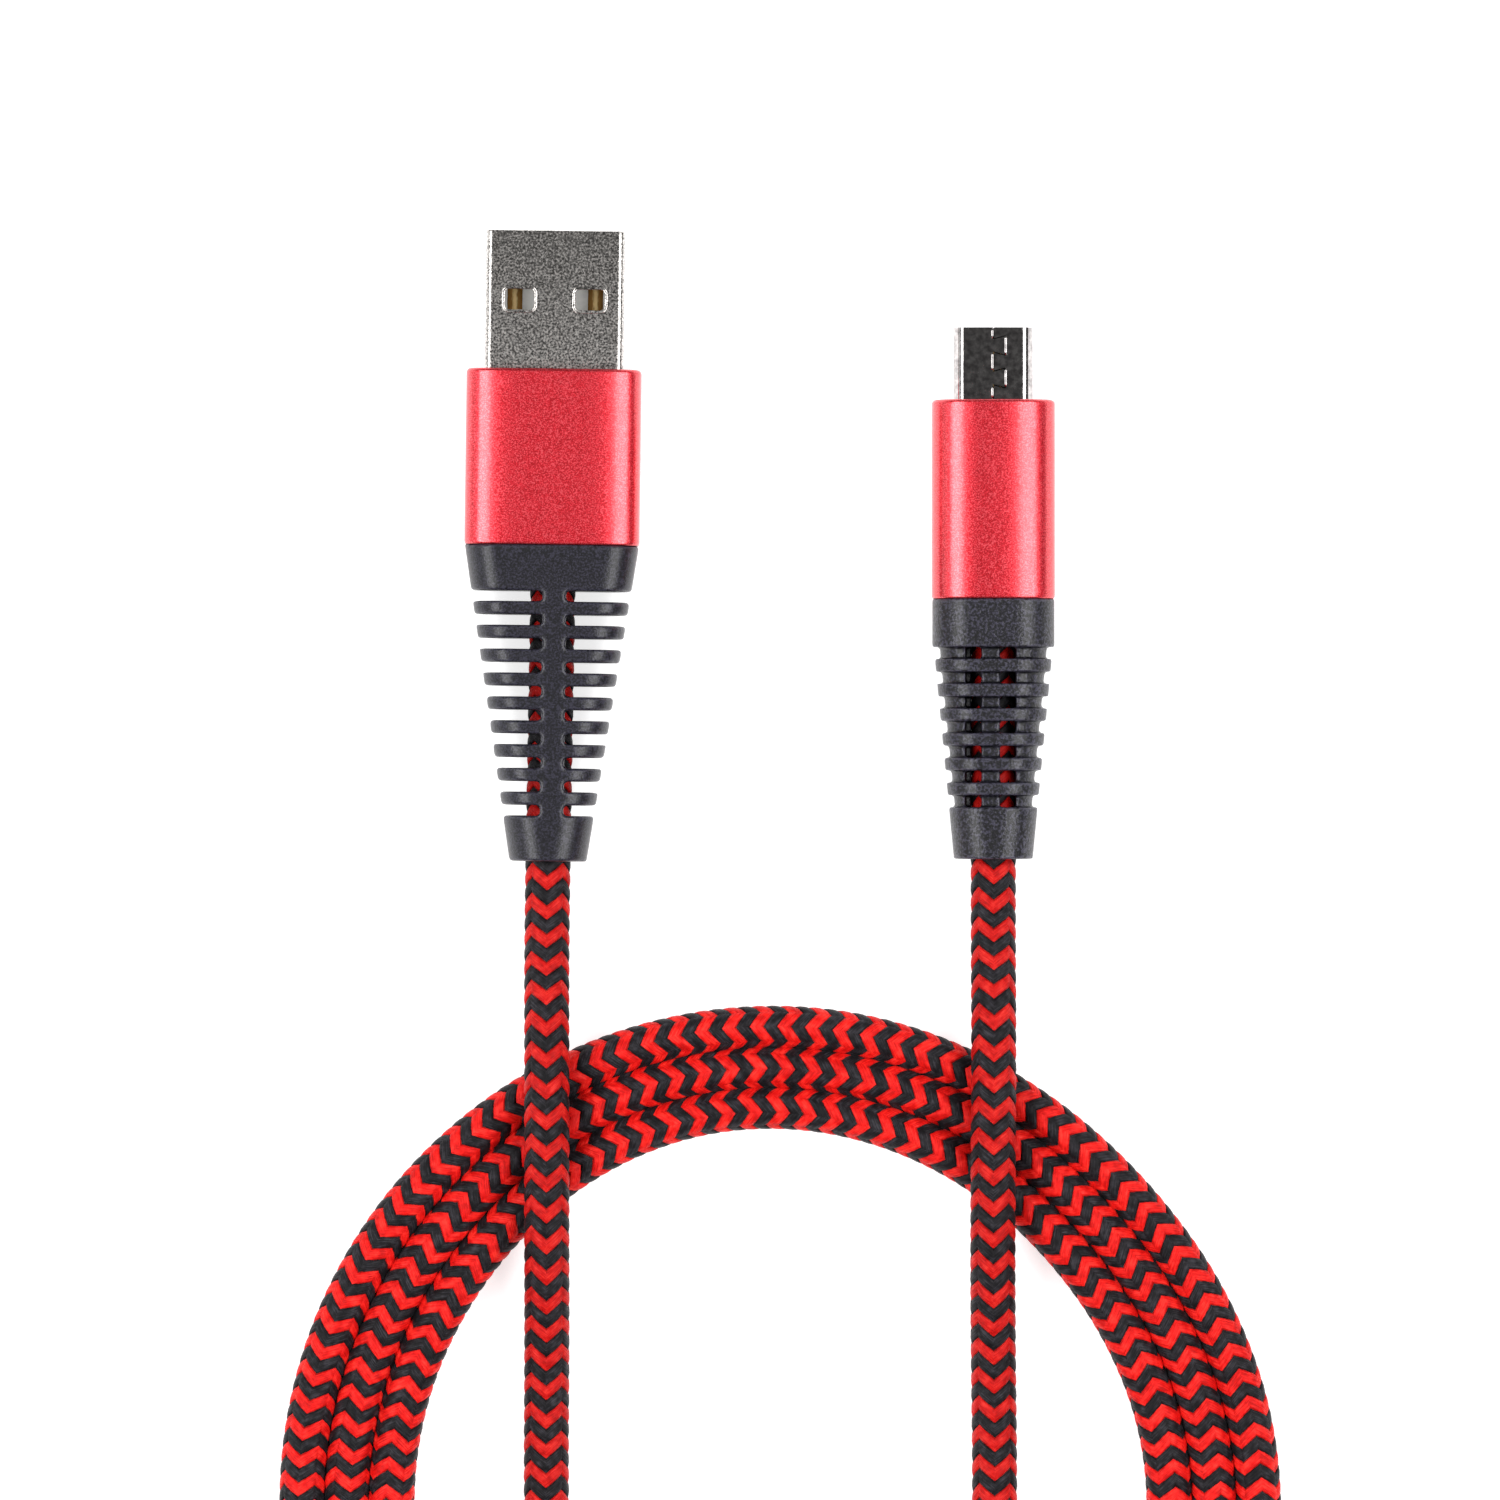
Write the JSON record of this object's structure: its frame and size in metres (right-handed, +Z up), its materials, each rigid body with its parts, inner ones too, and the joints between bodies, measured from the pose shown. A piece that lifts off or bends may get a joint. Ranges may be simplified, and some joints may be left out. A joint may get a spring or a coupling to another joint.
{
  "type": "charging cable",
  "caption": "Red and black braided charging cable with red metal plugs, USB-A and Micro-B, and its cord wound in a flat coil.",
  "frame": {"origin": "on the surface that the cable lies on, under the middle of the box around the two plugs, the free cord left out", "axes": "+Y the way both plugs point, +Z up, +X from the USB-A plug to the Micro-B plug"},
  "size_m": [0.0876, 0.1545, 0.0088],
  "materials": {
    "red_anodised": "satin anodised",
    "black_rubber": "matt, fine grain",
    "dark_nickel": "dark nickel plate",
    "white_nylon": "moulded",
    "black_nylon": "moulded",
    "black_mould": "moulded",
    "braid": "red and black braided nylon",
    "inner_jacket": "extruded",
    "solder": "bright tin",
    "spring_steel": "nickel plate",
    "gold": "gold plate",
    "wire_red": "extruded",
    "wire_white": "extruded",
    "wire_green": "extruded",
    "wire_black": "extruded"
  },
  "bodies": {
    "cable": {"cord_coil": "braid", "cord_from_micro_b": "braid", "cord_from_usb_a": "braid", "micro_b_boot": "black_rubber", "micro_b_contact_1_base": "gold", "micro_b_contact_2_base": "gold", "micro_b_contact_3_base": "gold", "micro_b_contact_4_base": "gold", "micro_b_contact_5_base": "gold", "micro_b_cord_in_boot": "braid", "micro_b_cord_jacket_end": "inner_jacket", "micro_b_housing": "red_anodised", "micro_b_inner_mould": "black_mould", "micro_b_insulator": "black_nylon", "micro_b_shell": "dark_nickel", "micro_b_solder_joints": "solder", "micro_b_wire_black": "wire_black", "micro_b_wire_green": "wire_green", "micro_b_wire_red": "wire_red", "micro_b_wire_white": "wire_white", "usb_a_boot": "black_rubber", "usb_a_contact_data_minus": "gold", "usb_a_contact_data_plus": "gold", "usb_a_contact_ground": "gold", "usb_a_contact_power": "gold", "usb_a_cord_in_boot": "braid", "usb_a_cord_jacket_end": "inner_jacket", "usb_a_housing": "red_anodised", "usb_a_inner_mould": "black_mould", "usb_a_insulator": "white_nylon", "usb_a_shell": "dark_nickel", "usb_a_solder_joints": "solder", "usb_a_wire_black": "wire_black", "usb_a_wire_green": "wire_green", "usb_a_wire_red": "wire_red", "usb_a_wire_white": "wire_white"},
    "micro_b_latch_left_body": {"micro_b_latch_left": "spring_steel"},
    "micro_b_latch_right_body": {"micro_b_latch_right": "spring_steel"},
    "micro_b_contact_1_spring_body": {"micro_b_contact_1_spring": "gold"},
    "micro_b_contact_2_spring_body": {"micro_b_contact_2_spring": "gold"},
    "micro_b_contact_3_spring_body": {"micro_b_contact_3_spring": "gold"},
    "micro_b_contact_4_spring_body": {"micro_b_contact_4_spring": "gold"},
    "micro_b_contact_5_spring_body": {"micro_b_contact_5_spring": "gold"}
  },
  "joints": [
    {"name": "micro_b_latch_left_press", "type": "hinge", "parent": "cable", "child": "micro_b_latch_left_body", "pos_m": [0.0179, 0.0099, 0.00341], "axis": [1, 0, 0], "range_deg": [0, 2.7], "stiffness_Nm_per_rad": 0.2},
    {"name": "micro_b_latch_right_press", "type": "hinge", "parent": "cable", "child": "micro_b_latch_right_body", "pos_m": [0.0223, 0.0099, 0.00341], "axis": [1, 0, 0], "range_deg": [0, 2.7], "stiffness_Nm_per_rad": 0.2},
    {"name": "micro_b_contact_1_press", "type": "hinge", "parent": "cable", "child": "micro_b_contact_1_spring_body", "pos_m": [0.0188, 0.0134, 0.00351], "axis": [1, 0, 0], "range_deg": [-2.2, 0], "stiffness_Nm_per_rad": 0.05},
    {"name": "micro_b_contact_2_press", "type": "hinge", "parent": "cable", "child": "micro_b_contact_2_spring_body", "pos_m": [0.01945, 0.0134, 0.00351], "axis": [1, 0, 0], "range_deg": [-2.2, 0], "stiffness_Nm_per_rad": 0.05},
    {"name": "micro_b_contact_3_press", "type": "hinge", "parent": "cable", "child": "micro_b_contact_3_spring_body", "pos_m": [0.0201, 0.0134, 0.00351], "axis": [1, 0, 0], "range_deg": [-2.2, 0], "stiffness_Nm_per_rad": 0.05},
    {"name": "micro_b_contact_4_press", "type": "hinge", "parent": "cable", "child": "micro_b_contact_4_spring_body", "pos_m": [0.02075, 0.0134, 0.00351], "axis": [1, 0, 0], "range_deg": [-2.2, 0], "stiffness_Nm_per_rad": 0.05},
    {"name": "micro_b_contact_5_press", "type": "hinge", "parent": "cable", "child": "micro_b_contact_5_spring_body", "pos_m": [0.0214, 0.0134, 0.00351], "axis": [1, 0, 0], "range_deg": [-2.2, 0], "stiffness_Nm_per_rad": 0.05}
  ]
}
